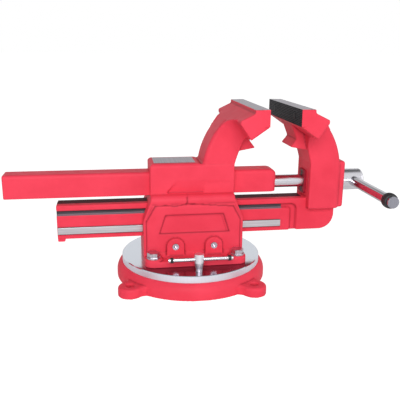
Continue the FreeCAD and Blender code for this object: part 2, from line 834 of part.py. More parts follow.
def rear_guard():
    beam = guard_beam(guard_left, nut_left)
    beam = beam.cut(guard_channel(guard_left + guard_end_wall, nut_left))
    return beam.cut(housing_screw_seat(rear_screw_x))


def front_guard():
    beam = guard_beam(nut_right, guard_right)
    beam = rounded(beam, guard_nose_radius, lambda e: near(e.BoundBox.XMin, guard_right)
                   and near(e.BoundBox.ZMin, guard_top) and e.BoundBox.YLength > guard_half_width)
    beam = beam.cut(guard_channel(nut_right, guard_right))
    return beam.cut(housing_screw_seat(front_screw_x))


def spindle_nut():
    block = guard_beam(nut_left + seat_gap, nut_right - seat_gap)
    block = block.cut(rod((nut_left, 0, spindle_z), (nut_right, 0, spindle_z), thread_radius + running_gap))
    return block.cut(housing_screw_seat(nut_screw_x))


def housing_screws():
    screws = []
    inner = guard_half_width - housing_screw_depth + seat_gap
    for x in (rear_screw_x, nut_screw_x, front_screw_x):
        screw = rod((x, inner, spindle_z), (x, upper_half_width - 1, spindle_z), housing_screw_radius)
        socket = rod((x, upper_half_width - 5, spindle_z), (x, upper_half_width, spindle_z),
                     housing_screw_radius / 2)
        screws.append(screw.cut(socket))
    return Part.makeCompound(screws)


def slide_gib():
    right = body_centre_x + body_half_length
    top = slide_bottom - flat_gap
    outline = [(-gib_half_width, top), (-gib_half_width, gib_bottom + gib_bevel),
               (-gib_half_width + gib_bevel, gib_bottom), (gib_half_width, gib_bottom), (gib_half_width, top)]
    return long_prism(outline, gib_left + seat_gap, right - 1)


def gib_screws():
    screws = []
    z = disc_top + gib_screw_rise
    tip = gib_screw_tip_y()
    base = tip - gib_screw_radius
    front = -body_half_width - gib_boss_reach
    for x in (-gib_screw_x, gib_screw_x):
        body = rod((x, front, z), (x, base, z), gib_screw_radius)
        point = cone((x, base, z), (x, tip, z), gib_screw_radius, 0)
        socket = rod((x, front, z), (x, front + gib_screw_socket, z), gib_screw_radius / 2)
        screws.append(body.fuse(point).removeSplitter().cut(socket))
    return Part.makeCompound(screws)


def slide_groove(y_low, y_high):
    """Groove along the bar that turns down, with round corners, behind the moving jaw's face."""
    low = slide_bottom + groove_low
    start = slide_left - 1
    outer = box(start, moving_face_x + groove_turn_right, y_low, y_high, slide_bottom - 1,
                low + groove_height)
    inner = box(start, moving_face_x + groove_turn_left, y_low, y_high, slide_bottom - 1, low)

    def top_corner(x, z):
        return lambda e: near(e.BoundBox.XMin, x) and near(e.BoundBox.ZMin, z) and e.BoundBox.ZLength < 1

    outer = rounded(outer, groove_outer_radius,
                    top_corner(moving_face_x + groove_turn_right, low + groove_height))
    inner = rounded(inner, groove_inner_radius, top_corner(moving_face_x + groove_turn_left, low))
    return outer.cut(inner)


def slide_bar():
    """Long bar with a machined way and a groove along each side, and a round front corner."""
    relief = slide_half_width - side_relief
    corner = slide_right - slide_corner_radius
    half_turn = slide_corner_radius * math.sqrt(0.5)
    arc_middle = Vector(corner + half_turn, -relief, slide_bottom + slide_corner_radius - half_turn)
    low_left = Vector(slide_left, -relief, slide_bottom)
    low_right = Vector(corner, -relief, slide_bottom)
    side_right = Vector(slide_right, -relief, slide_bottom + slide_corner_radius)
    high_right = Vector(slide_right, -relief, slide_top)
    high_left = Vector(slide_left, -relief, slide_top)
    outline = Part.Wire([
        Part.makeLine(low_left, low_right),
        Part.Arc(low_right, arc_middle, side_right).toShape(),
        Part.makeLine(side_right, high_right),
        Part.makeLine(high_right, high_left),
        Part.makeLine(high_left, low_left),
    ])
    bar = Part.Face(outline).extrude(Vector(0, 2 * relief, 0))
    way_right = moving_face_x - way_overhang
    way_z = slide_bottom + way_low
    way = box(slide_left, way_right, -slide_half_width, slide_half_width, way_z, way_z + way_height)
    bar = fuse_all([bar, way])
    tools = [slide_groove(-relief, -relief + groove_depth), slide_groove(relief - groove_depth, relief)]
    for behind in slide_screw_behind:
        x = moving_face_x + behind
        tools.append(rod((x, 0, slide_bottom), (x, 0, slide_top), slide_screw_radius + seat_gap))
        head_top = slide_bottom + slide_screw_sink + slide_screw_head_height
        tools.append(rod((x, 0, slide_bottom), (x, 0, head_top), slide_screw_head_radius + seat_gap))
    tools.append(rod((stop_x(), 0, slide_bottom), (stop_x(), 0, slide_bottom + stop_screw_length),
                     stop_screw_radius + seat_gap))
    return cut_all(bar, tools)


def stop_x():
    return slide_left + stop_length / 2


def slide_screws():
    screws = []
    for behind in slide_screw_behind:
        x = moving_face_x + behind
        head_low = slide_bottom + slide_screw_sink
        head_high = head_low + slide_screw_head_height
        head = rod((x, 0, head_low), (x, 0, head_high), slide_screw_head_radius)
        shank = rod((x, 0, head_high), (x, 0, slide_top + slide_screw_grip - slide_screw_end_gap),
                    slide_screw_radius)
        socket = rod((x, 0, head_low), (x, 0, head_low + slide_screw_head_height / 2),
                     slide_screw_socket_radius)
        screws.append(head.fuse(shank).removeSplitter().cut(socket))
    return Part.makeCompound(screws)


def slide_stop():
    low = slide_bottom - stop_height
    block = box(slide_left + loose_gap, slide_left + stop_length, -stop_half_width, stop_half_width,
                low, slide_bottom)
    block = rounded(block, stop_edge_radius, lambda e: flat_at(e, low) and e.BoundBox.YLength > 1)
    head = rod((stop_x(), 0, low), (stop_x(), 0, low + stop_height / 2), stop_screw_head_radius + seat_gap)
    hole = rod((stop_x(), 0, low), (stop_x(), 0, slide_bottom), stop_screw_radius + seat_gap)
    return cut_all(block, [head, hole])


def stop_screw():
    low = slide_bottom - stop_height + loose_gap
    seat = slide_bottom - stop_height / 2
    head = rod((stop_x(), 0, low), (stop_x(), 0, seat), stop_screw_head_radius)
    shank = rod((stop_x(), 0, seat), (stop_x(), 0, slide_bottom + stop_screw_length - 1), stop_screw_radius)
    return head.fuse(shank).removeSplitter()


def moving_jaw():
    neck_low = slide_bottom + neck_bottom
    drop_low = jaw_top - neck_low
    boss = box(neck_right - 1, boss_right, -front_boss_half_width, front_boss_half_width,
               neck_low + 1, spindle_z + front_boss_above)
    boss = rounded(boss, front_boss_radius, lambda e: near(e.BoundBox.XMax, boss_right))
    casting = jaw_end(moving_face_x, 1, drop_low).fuse(boss).removeSplitter()
    saddle = slide_half_width - side_relief + seat_gap
    tools = [
        box(neck_left - 1, slide_right + seat_gap, -saddle, saddle, neck_low, slide_top + seat_gap),
        rod((neck_left, 0, spindle_z), (boss_right, 0, spindle_z), spindle_radius + running_gap),
    ]
    for behind in slide_screw_behind:
        x = moving_face_x + behind
        tools.append(rod((x, 0, slide_top), (x, 0, slide_top + slide_screw_grip),
                         slide_screw_radius + seat_gap))
    for z in keeper_screw_places():
        tools.append(rod((keeper_left, 0, z), (keeper_left + keeper_screw_length, 0, z),
                         keeper_screw_radius + seat_gap))
    return cut_all(casting, tools)


def spindle():
    """Threaded rod, smooth journal with the keeper's groove, and the round head with its cross hole."""
    head_right = head_left + head_length
    threaded = rod((thread_left, 0, spindle_z), (thread_right, 0, spindle_z), thread_radius)
    journal = rod((thread_right, 0, spindle_z), (head_left, 0, spindle_z), spindle_radius)
    head = rod((head_left, 0, spindle_z), (head_right, 0, spindle_z), head_radius)
    head = rounded(head, head_edge_radius, lambda e: near(e.BoundBox.XMin, head_right))
    solid = fuse_all([threaded, journal, head])
    groove = ring((keeper_left - loose_gap, 0, spindle_z), (neck_left + loose_gap, 0, spindle_z),
                  spindle_radius + 1, keeper_groove_radius)
    cross = rod((handle_x, -head_radius - 1, spindle_z), (handle_x, head_radius + 1, spindle_z),
                handle_radius + running_gap)
    return cut_all(solid, [groove, cross])


def keeper_screw_places():
    return [spindle_z - keeper_screw_offset, spindle_z + keeper_screw_offset]


def keeper_plate():
    """Horseshoe plate on the neck's inner face. It stands in the spindle's groove, open to the far side."""
    plate = box(keeper_left, neck_left, -keeper_half_width, keeper_half_width,
                spindle_z - keeper_half_height, spindle_z + keeper_half_height)
    plate = rounded(plate, keeper_edge_radius, lambda e: near(e.BoundBox.XLength, keeper_thickness))
    slot = keeper_groove_radius + loose_gap
    tools = [rod((keeper_left, 0, spindle_z), (neck_left, 0, spindle_z), slot),
             box(keeper_left, neck_left, 0, keeper_half_width, spindle_z - slot, spindle_z + slot)]
    for z in keeper_screw_places():
        tools.append(keeper_screw_form(z, keeper_screw_length, seat_gap))
    return cut_all(plate, tools)


def keeper_screw_form(z, length, gap):
    """Countersunk screw, or with a gap the hole for it."""
    shank_radius = keeper_screw_radius + gap
    head_radius = keeper_screw_head_radius + gap
    head_end = keeper_left + head_radius - shank_radius
    head = cone((keeper_left, 0, z), (head_end, 0, z), head_radius, shank_radius)
    return head.fuse(rod((head_end, 0, z), (keeper_left + length, 0, z), shank_radius)).removeSplitter()


def keeper_screws():
    screws = []
    for z in keeper_screw_places():
        screw = keeper_screw_form(z, keeper_screw_length - 1, 0)
        half = keeper_slot_width / 2
        slot = box(keeper_left, keeper_left + keeper_slot_width, -keeper_screw_head_radius,
                   keeper_screw_head_radius, z - half, z + half)
        screws.append(screw.cut(slot))
    return Part.makeCompound(screws)


def thrust_washer():
    left = boss_right + loose_gap
    return ring((left, 0, spindle_z), (left + thrust_washer_thickness, 0, spindle_z), thrust_washer_radius,
                spindle_radius + seat_gap)


def both_ends(make_piece):
    return Part.makeCompound([make_piece(-1), make_piece(1)])


def handle_bar():
    bar_end = handle_half_length - handle_cap_wall
    journal = bar_end - handle_cap_length + handle_cap_wall
    bar = rod((handle_x, -journal, spindle_z), (handle_x, journal, spindle_z), handle_radius)
    pin = rod((handle_x, -bar_end, spindle_z), (handle_x, bar_end, spindle_z), handle_cap_bore - seat_gap)
    return bar.fuse(pin).removeSplitter()


def handle_cap(side):
    inner = handle_half_length - handle_cap_length
    cap = rod((handle_x, side * inner, spindle_z), (handle_x, side * handle_half_length, spindle_z),
              handle_cap_radius)
    cap = bevelled(cap, handle_cap_wall / 2, lambda e: near(abs(e.BoundBox.YMin), handle_half_length)
                   and near(abs(e.BoundBox.YMax), handle_half_length))
    bore = rod((handle_x, side * inner, spindle_z),
               (handle_x, side * (handle_half_length - handle_cap_wall), spindle_z), handle_cap_bore)
    return cap.cut(bore)


def handle_ring(side):
    outer = handle_half_length - handle_cap_length
    inner = outer - handle_ring_length
    return ring((handle_x, side * inner, spindle_z), (handle_x, side * outer, spindle_z),
                handle_ring_radius, handle_radius + seat_gap)


def lock_screw():
    """Upright screw with a tapered head and a cross hole for its bar."""
    y = -lock_circle_radius
    nut_low = slot_shoulder - loose_gap - lock_nut_height
    top = disc_top + lock_head_height
    shank = rod((0, y, nut_low), (0, y, disc_top + lock_taper_low), lock_radius)
    taper = cone((0, y, disc_top + lock_taper_low), (0, y, disc_top + lock_taper_high), lock_radius,
                 lock_head_radius)
    head = rod((0, y, disc_top + lock_taper_high), (0, y, top), lock_head_radius)
    head = bevelled(head, 1.0, lambda e: flat_at(e, top))
    solid = fuse_all([shank, taper, head])
    cross = rod((-lock_head_radius - 1, y, lock_bar_z), (lock_head_radius + 1, y, lock_bar_z),
                lock_bar_radius + running_gap)
    return solid.cut(cross)


def lock_bar():
    y = -lock_circle_radius
    end = lock_bar_half_length - lock_tip_wall
    journal = lock_bar_half_length - lock_tip_length
    bar = rod((lock_bar_shift - journal, y, lock_bar_z), (lock_bar_shift + journal, y, lock_bar_z),
              lock_bar_radius)
    pin = rod((lock_bar_shift - end, y, lock_bar_z), (lock_bar_shift + end, y, lock_bar_z),
              lock_tip_bore - seat_gap)
    return bar.fuse(pin).removeSplitter()


def lock_tip(side):
    y = -lock_circle_radius
    inner = lock_bar_shift + side * (lock_bar_half_length - lock_tip_length)
    outer = lock_bar_shift + side * lock_bar_half_length
    floor = lock_bar_shift + side * (lock_bar_half_length - lock_tip_wall)
    tip = rod((inner, y, lock_bar_z), (outer, y, lock_bar_z), lock_tip_radius)
    return tip.cut(rod((inner, y, lock_bar_z), (floor, y, lock_bar_z), lock_tip_bore))


def lock_ring(side):
    y = -lock_circle_radius
    outer = lock_bar_shift + side * (lock_bar_half_length - lock_tip_length)
    inner = outer - side * lock_ring_length
    return ring((inner, y, lock_bar_z), (outer, y, lock_bar_z), lock_ring_radius, lock_bar_radius + seat_gap)


def main():
    os.makedirs("parts", exist_ok=True)
    pieces = {
        "base_casting": base_casting(),
        "swivel_disc": swivel_disc(),
        "pivot_bolt": pivot_bolt(),
        "pivot_washer": pivot_washer(),
        "pivot_nut": pivot_nut(),
        "lock_nut": lock_nut(),
        "fixed_jaw_body": fixed_jaw_body(),
        "body_bolts": body_bolts(),
        "body_washers": body_washers(),
        "rear_guard": rear_guard(),
        "front_guard": front_guard(),
        "spindle_nut": spindle_nut(),
        "housing_screws": housing_screws(),
        "slide_gib": slide_gib(),
        "gib_screws": gib_screws(),
        "fixed_jaw_plate": jaw_plate(fixed_face_x, -1),
        "fixed_plate_pins": plate_pins(fixed_face_x, -1),
        "moving_jaw": moving_jaw(),
        "slide_bar": slide_bar(),
        "slide_screws": slide_screws(),
        "slide_stop": slide_stop(),
        "stop_screw": stop_screw(),
        "moving_jaw_plate": jaw_plate(moving_face_x, 1),
        "moving_plate_pins": plate_pins(moving_face_x, 1),
        "keeper_plate": keeper_plate(),
        "keeper_screws": keeper_screws(),
        "spindle": spindle(),
        "thrust_washer": thrust_washer(),
        "handle_bar": handle_bar(),
        "handle_rings": both_ends(handle_ring),
        "handle_end_caps": both_ends(handle_cap),
        "lock_screw": lock_screw(),
        "lock_bar": lock_bar(),
        "lock_bar_rings": both_ends(lock_ring),
        "lock_bar_tips": both_ends(lock_tip),
    }
    for name, shape in pieces.items():
        box_of = shape.BoundBox
        print(name, "solids", len(shape.Solids), "valid", shape.isValid(), "volume", round(shape.Volume),
              "x", round(box_of.XMin, 1), round(box_of.XMax, 1), "y", round(box_of.YMin, 1),
              round(box_of.YMax, 1), "z", round(box_of.ZMin, 1), round(box_of.ZMax, 1))
        save(name, shape)


main()
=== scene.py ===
import math

import bmesh
import bpy
from mathutils import Matrix, Vector


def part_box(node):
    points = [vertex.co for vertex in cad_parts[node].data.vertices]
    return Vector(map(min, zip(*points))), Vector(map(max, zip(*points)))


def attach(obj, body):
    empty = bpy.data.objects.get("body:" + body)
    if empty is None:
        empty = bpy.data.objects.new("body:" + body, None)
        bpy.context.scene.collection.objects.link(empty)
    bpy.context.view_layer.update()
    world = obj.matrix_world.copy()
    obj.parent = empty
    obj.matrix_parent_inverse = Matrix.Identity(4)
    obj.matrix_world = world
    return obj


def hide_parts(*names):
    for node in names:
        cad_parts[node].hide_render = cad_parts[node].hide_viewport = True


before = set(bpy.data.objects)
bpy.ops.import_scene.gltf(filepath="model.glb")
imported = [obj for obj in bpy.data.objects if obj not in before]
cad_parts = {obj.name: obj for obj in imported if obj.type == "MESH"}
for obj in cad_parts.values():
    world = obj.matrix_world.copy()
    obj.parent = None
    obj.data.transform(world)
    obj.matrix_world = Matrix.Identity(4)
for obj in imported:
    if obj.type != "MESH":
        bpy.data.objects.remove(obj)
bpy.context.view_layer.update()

mm = 0.001

# Levels and places of the vise, read from the solids
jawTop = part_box("fixed_jaw_body")[1].z
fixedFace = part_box("fixed_jaw_plate")[1].x
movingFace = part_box("moving_jaw_plate")[0].x
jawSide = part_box("moving_jaw_plate")[1].y
handleLow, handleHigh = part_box("handle_bar")
spindleZ = (handleLow.z + handleHigh.z) / 2
handleX = (handleLow.x + handleHigh.x) / 2
handleRadius = (handleHigh.x - handleLow.x) / 2


# Material helpers
def newMaterial(name):
    material = bpy.data.materials.new(name)
    material.use_nodes = True
    tree = material.node_tree
    return material, tree, tree.nodes["Principled BSDF"]


def plug(tree, socket, value):  # a fixed value, or a link from another node
    if isinstance(value, (int, float, tuple)):
        socket.default_value = value
    else:
        tree.links.new(value, socket)


def objectPoint(tree):
    return tree.nodes.new("ShaderNodeTexCoord").outputs["Object"]


def noise(tree, scale, detail=3.0, roughness=0.5, vector=None):
    node = tree.nodes.new("ShaderNodeTexNoise")
    node.inputs["Scale"].default_value = scale
    node.inputs["Detail"].default_value = detail
    node.inputs["Roughness"].default_value = roughness
    tree.links.new(vector or objectPoint(tree), node.inputs["Vector"])
    return node.outputs["Fac"]


def stretched(tree, scale):  # object coordinates stretched for brushed or turned lines
    mapping = tree.nodes.new("ShaderNodeMapping")
    mapping.inputs["Scale"].default_value = scale
    tree.links.new(objectPoint(tree), mapping.inputs["Vector"])
    return mapping.outputs["Vector"]


def ramp(tree, source, stops):  # stops are (place, colour) from low to high
    node = tree.nodes.new("ShaderNodeValToRGB")
    elements = node.color_ramp.elements
    for element, (place, colour) in zip(elements, stops):
        element.position, element.color = place, colour
    tree.links.new(source, node.inputs["Fac"])
    return node.outputs["Color"]


def spread(tree, source, low, high, fromLow=0.0, fromHigh=1.0):  # one range turned into another
    node = tree.nodes.new("ShaderNodeMapRange")
    ends = {"From Min": fromLow, "From Max": fromHigh, "To Min": low, "To Max": high}
    for socketName, value in ends.items():
        node.inputs[socketName].default_value = value
    tree.links.new(source, node.inputs["Value"])
    return node.outputs["Result"]


def maths(tree, operation, *values):
    node = tree.nodes.new("ShaderNodeMath")
    node.operation = operation
    for socket, value in zip(node.inputs, values):
        plug(tree, socket, value)
    return node.outputs["Value"]


def bump(tree, height, strength, distance, normal=None):
    node = tree.nodes.new("ShaderNodeBump")
    node.inputs["Strength"].default_value = strength
    node.inputs["Distance"].default_value = distance
    tree.links.new(height, node.inputs["Height"])
    if normal:
        tree.links.new(normal, node.inputs["Normal"])
    return node.outputs["Normal"]


def mixColour(tree, factor, first, second):  # sockets 6 and 7 of a Mix node are its colours
    node = tree.nodes.new("ShaderNodeMix")
    node.data_type = "RGBA"
    for place, value in ((0, factor), (6, first), (7, second)):
        plug(tree, node.inputs[place], value)
    return node.outputs[2]


def mixValue(tree, factor, first, second):  # sockets 2 and 3 are its plain values
    node = tree.nodes.new("ShaderNodeMix")
    for place, value in ((0, factor), (2, first), (3, second)):
        plug(tree, node.inputs[place], value)
    return node.outputs[0]


def separated(tree, vector):  # the X, Y and Z of a vector
    node = tree.nodes.new("ShaderNodeSeparateXYZ")
    tree.links.new(vector, node.inputs[0])
    return node.outputs


def ownNormal(tree):  # the normal in the piece's own space, so that it turns with the piece
    return tree.nodes.new("ShaderNodeTexCoord").outputs["Normal"]


def boxMask(tree, low, high, facing=None):  # 1 inside a box where the surface faces one way, else 0
    mask = 1.0
    for place, least, most in zip(separated(tree, objectPoint(tree)), low, high):
        above = maths(tree, "GREATER_THAN", place, least)
        below = maths(tree, "LESS_THAN", place, most)
        mask = maths(tree, "MULTIPLY", maths(tree, "MULTIPLY", above, below), mask)
    if not facing:
        return mask
    way = tree.nodes.new("ShaderNodeVectorMath")
    way.operation = "DOT_PRODUCT"
    tree.links.new(ownNormal(tree), way.inputs[0])
    way.inputs[1].default_value = facing
    return maths(tree, "MULTIPLY", maths(tree, "GREATER_THAN", way.outputs["Value"], bare["facing"]), mask)


# Paint, and the faces that stay bare in it
redPaint = {
    "colour": (0.84, 0.058, 0.099, 1.0),
    "darker": (0.77, 0.047, 0.082, 1.0),
    "cloud": 14.0,           # size of the lighter and darker patches
    "hollow": (0.11, 0.003, 0.009, 1.0),   # painted shade in the corners and creases of the casting
    "roughness": (0.38, 0.52),
    "roughPatches": 60.0,
    "grain": 420.0,          # cast skin under the paint
    "grainDepth": 0.00014,
    "wave": 38.0,
    "waveDepth": 0.0007,
    "coatRoughness": 0.25,
}
bare = {
    "facing": 0.80,          # how straight a face has to look the right way
    "across": 800.0,         # scale of the brushed lines, across and along
    "along": 12.0,
}
groundStrip = {
    "dark": (0.32, 0.30, 0.34, 1), "light": (0.48, 0.44, 0.50, 1), "roughness": (0.30, 0.42), "metal": 0.9}
wayStrip = {
    "dark": (0.52, 0.51, 0.54, 1), "light": (0.68, 0.67, 0.70, 1), "roughness": (0.30, 0.40), "metal": 0.85}
# Painted shadow: thin dark lines along the top and bottom edge of the slide's way strips
wayShadowLine = {
    "dark": (0.020, 0.012, 0.014, 1), "light": (0.040, 0.026, 0.030, 1),
    "roughness": (0.5, 0.6), "metal": 0.3}
darkGroove = {
    "dark": (0.045, 0.040, 0.046, 1), "light": (0.085, 0.070, 0.082, 1),
    "roughness": (0.4, 0.5), "metal": 0.3}
grooveFoot = {
    "dark": (0.20, 0.14, 0.17, 1), "light": (0.30, 0.22, 0.26, 1), "roughness": (0.4, 0.5), "metal": 0.3}
# Painted shade: the keeper plate's red is darker, like the shade on the neck's inner face around it
keeperShadeRed = {
    "dark": (0.26, 0.012, 0.028, 1), "light": (0.34, 0.016, 0.036, 1), "roughness": (0.4, 0.5), "metal": 0.0}
# Painted shade: the rear of the slide's top, dark red where the guard overhead shades it
guardShadeTop = {
    "dark": (0.060, 0.006, 0.014, 1), "light": (0.13, 0.012, 0.026, 1), "roughness": (0.5, 0.6), "metal": 0.0}
plateFace = {
    "dark": (0.016, 0.014, 0.017, 1), "light": (0.036, 0.032, 0.038, 1),
    "roughness": (0.36, 0.5), "metal": 0.7}


# Each patch is a box's low and high corner in mm, the way its faces look, their finish and the lines' axis
def makePaint(name, patches=(), creaseShaded=True, gloss=0.08):
    material, tree, shader = newMaterial(name)
    cloud = noise(tree, redPaint["cloud"], 4.0, 0.6)
    colour = ramp(tree, cloud, [(0.35, redPaint["darker"]), (0.62, redPaint["colour"])])
    rough = spread(tree, noise(tree, redPaint["roughPatches"]), *redPaint["roughness"])
    normal = bump(tree, noise(tree, redPaint["grain"], 2.0), 0.5, redPaint["grainDepth"])
    normal = bump(tree, noise(tree, redPaint["wave"], 2.0), 0.35, redPaint["waveDepth"], normal)
    # Painted shade: the hollows of a casting are darkened towards the shade colour, by the amount stored on
    # its mesh
    if creaseShaded:
        creaseShade = tree.nodes.new("ShaderNodeAttribute")
        creaseShade.attribute_name = "creaseShade"
        depth = maths(tree, "MINIMUM", creaseShade.outputs["Fac"], 1.0)
        colour = mixColour(tree, depth, colour, redPaint["hollow"])
    metal = None
    for low, high, facing, finish, direction in patches:
        mask = boxMask(tree, [value * mm for value in low], [value * mm for value in high], facing)
        scale = [bare["across"]] * 3
        scale[direction] = bare["along"]
        lines = noise(tree, 1.0, 2.0, 0.6, stretched(tree, scale))
        own = ramp(tree, lines, [(0.3, finish["dark"]), (0.7, finish["light"])])
        colour = mixColour(tree, mask, colour, own)
        rough = mixValue(tree, mask, rough, spread(tree, lines, *finish["roughness"]))
        metal = mixValue(tree, mask, metal or 0.0, finish["metal"])
    tree.links.new(colour, shader.inputs["Base Color"])
    tree.links.new(rough, shader.inputs["Roughness"])
    tree.links.new(normal, shader.inputs["Normal"])
    if metal:
        tree.links.new(metal, shader.inputs["Metallic"])
    shader.inputs["Specular IOR Level"].default_value = gloss
    shader.inputs["Coat Weight"].default_value = gloss / 5
    shader.inputs["Coat Roughness"].default_value = redPaint["coatRoughness"]
    return material


# Metals and rubber
def makeSteel(name, direction, colour, light, roughness, lineScale=900.0, depth=0.00005):
    material, tree, shader = newMaterial(name)  # fine lines along one axis
    scale = [lineScale] * 3
    scale[direction] = lineScale / 60
    lines = noise(tree, 1.0, 2.0, 0.6, stretched(tree, scale))
    cloud = noise(tree, 30.0, 3.0)
    tree.links.new(ramp(tree, lines, [(0.3, colour), (0.7, light)]), shader.inputs["Base Color"])
    tree.links.new(spread(tree, cloud, *roughness), shader.inputs["Roughness"])
    tree.links.new(bump(tree, lines, 0.3, depth), shader.inputs["Normal"])
    shader.inputs["Metallic"].default_value = 1.0
    return material


turnedDisc = {
    "rings": 2200.0,
    "unshaded": ((0.66, 0.70, 0.77, 1), (0.78, 0.82, 0.89, 1)),
    "footShade": ((0.20, 0.16, 0.20, 1), (0.26, 0.21, 0.26, 1)),   # painted shade and reflection of the body's foot on the disc, in front of the foot
    "footShadeSides": (84 * mm, 104 * mm),      # the painted shade fades out between these distances from the middle
    "footShadeFront": (-74 * mm, -60 * mm),
    "footShadeRadius": 110.4 * mm,
    "polish": (0.10, 0.17),
    "rimRoughness": 0.55,
}


def makeTurnedDisc(name):  # polished steel with very fine lines round the swivel axis, and painted shade in front of the body's foot
    material, tree, shader = newMaterial(name)
    x, y, z = separated(tree, objectPoint(tree))
    square = maths(tree, "ADD", maths(tree, "MULTIPLY", x, x), maths(tree, "MULTIPLY", y, y))
    radius = maths(tree, "SQRT", square)
    together = tree.nodes.new("ShaderNodeCombineXYZ")
    tree.links.new(radius, together.inputs[0])
    rings = noise(tree, turnedDisc["rings"], 2.0, 0.7, together.outputs[0])
    unshaded = ramp(tree, rings, list(zip((0.3, 0.7), turnedDisc["unshaded"])))
    footShade = ramp(tree, rings, list(zip((0.3, 0.7), turnedDisc["footShade"])))
    # Painted shade and reflection: the disc is darker in front of the body's foot, fading out to the sides
    # and towards the front
    middle = spread(tree, maths(tree, "ABSOLUTE", x), 1.0, 0.0, *turnedDisc["footShadeSides"])
    front = spread(tree, y, 1.0, 0.0, *turnedDisc["footShadeFront"])
    inside = maths(tree, "LESS_THAN", radius, turnedDisc["footShadeRadius"])
    footShadeMask = maths(tree, "MULTIPLY", maths(tree, "MULTIPLY", middle, front), inside)
    tree.links.new(mixColour(tree, footShadeMask, unshaded, footShade), shader.inputs["Base Color"])
    rim = maths(tree, "LESS_THAN", separated(tree, ownNormal(tree))[2], 0.5)
    polish = spread(tree, noise(tree, 18.0), *turnedDisc["polish"])
    tree.links.new(mixValue(tree, rim, polish, turnedDisc["rimRoughness"]), shader.inputs["Roughness"])
    tree.links.new(bump(tree, rings, 0.12, 0.00003), shader.inputs["Normal"])
    shader.inputs["Metallic"].default_value = 1.0
    return material


def makeDull(name, colour, light, roughness, grain, depth, metallic=0.0):
    material, tree, shader = newMaterial(name)  # a grain without direction
    speck = noise(tree, grain, 3.0, 0.6)
    cloud = noise(tree, 40.0, 3.0)
    tree.links.new(ramp(tree, cloud, [(0.35, colour), (0.65, light)]), shader.inputs["Base Color"])
    tree.links.new(spread(tree, speck, *roughness), shader.inputs["Roughness"])
    tree.links.new(bump(tree, speck, 0.4, depth), shader.inputs["Normal"])
    shader.inputs["Metallic"].default_value = metallic
    return material


# Bare faces of the painted pieces, in mm
jawFaces = {
    "strip": 22.0,           # width of the ground strip along the top of a jaw
    "stripSkin": 1.2,        # how far the strip reaches down from the top
    "plateSkin": 1.5,        # how far a plate's dark face reaches into the plate
    "plateFrom": 200.0,      # a level under both plates
    "anvil": ((-60, -23, 186.4), (4, 23, 188)),
}
slideFaces = (   # ends along X, sides along Y, levels along Z, finish, and whether only the flat side has it
    ((-215, 145), (16.0, 19.0), (76.9, 87.7), wayStrip, True),
    # painted shadow lines along the bottom and top edge of the way strip
    ((-215, 145), (16.0, 19.0), (76.2, 77.1), wayShadowLine, False),
    ((-215, 145), (16.0, 19.0), (87.5, 88.6), wayShadowLine, False),
    ((-215, 146), (12.0, 17.6), (106.8, 114.4), darkGroove, False),
    ((-215, 146), (12.0, 17.6), (106.6, 108.6), grooveFoot, False),
)
# Painted shade on the rear of the slide's top, under the guard
slideTopShade = ((-215, -6, 121.8), (182, 19, 124))
keeperBox = ((-300, -30, 100), (300, 30, 200))   # holds all of the keeper plate
jawTopMm, fixedMm, movingMm, sideMm = jawTop / mm, fixedFace / mm, movingFace / mm, jawSide / mm + 1
stripFrom = jawTopMm - jawFaces["stripSkin"]
upward = (0, 0, 1)


def groundTop(rear, front, lowest):  # the ground strip on top of a jaw or a plate
    return (rear, -sideMm, lowest), (front, sideMm, jawTopMm + 1), upward, groundStrip, 1


def darkFace(rear, front, side):  # the toothed face of a plate
    return (rear, -sideMm, jawFaces["plateFrom"]), (front, sideMm, jawTopMm + 1), (side, 0, 0), plateFace, 1


slidePatches = []
for side in (-1, 1):
    for (rear, front), places, (lowest, highest), finish, flat in slideFaces:
        near, far = sorted(side * place for place in places)
        facing = (0, side, 0) if flat else None
        slidePatches.append(((rear, near, lowest), (front, far, highest), facing, finish, 0))
slidePatches.append((*slideTopShade, upward, guardShadeTop, 0))
plateTop = groundTop(0, 200, jawFaces["plateFrom"])

bodyPaint = makePaint("redPaintBody", [(*jawFaces["anvil"], upward, groundStrip, 1),
                                       groundTop(fixedMm - jawFaces["strip"], fixedMm + 1, stripFrom)])
jawPaint = makePaint("redPaintJaw", [groundTop(movingMm - 1, movingMm + jawFaces["strip"], stripFrom)])
fixedDark = darkFace(fixedMm - jawFaces["plateSkin"], fixedMm + 1, 1)
movingDark = darkFace(movingMm - 1, movingMm + jawFaces["plateSkin"], -1)
fixedPlatePaint = makePaint("fixedPlate", [plateTop, fixedDark], creaseShaded=False)
movingPlatePaint = makePaint("movingPlate", [plateTop, movingDark], creaseShaded=False)
barPaint = makePaint("redPaintBar", slidePatches, gloss=0.05)
plainPaint = makePaint("redPaint")
barePaint = makePaint("redPaintPlain", creaseShaded=False)
# The keeper plate gets the darker red of painted shade
keeperShadedPaint = makePaint("redPaintKeeperShaded", [(*keeperBox, None, keeperShadeRed, 1)], creaseShaded=False)

# Lines run along an axis: 0 for X, 1 for Y, 2 for Z
discSteel = makeTurnedDisc("turnedDisc")
chrome = makeSteel("chromePlate", 1, (0.50, 0.49, 0.53, 1), (0.62, 0.61, 0.65, 1),
                   (0.07, 0.14), 500.0, 0.00002)
chromeX = makeSteel("chromePlateRod", 0, (0.66, 0.65, 0.70, 1), (0.78, 0.77, 0.82, 1),
                    (0.18, 0.26), 500.0, 0.00003)
chromeEnd = makeSteel("chromePlateEnd", 2, (0.34, 0.34, 0.39, 1), (0.42, 0.42, 0.48, 1),
                      (0.16, 0.26), 500.0, 0.00003)
brightSteel = makeSteel("lockSteel", 2, (0.80, 0.82, 0.88, 1), (0.90, 0.92, 0.97, 1),
                        (0.34, 0.44), 500.0, 0.00003)
zinc = makeSteel("brightZinc", 2, (0.46, 0.44, 0.49, 1), (0.66, 0.63, 0.69, 1),
                 (0.22, 0.34), 400.0, 0.00004)
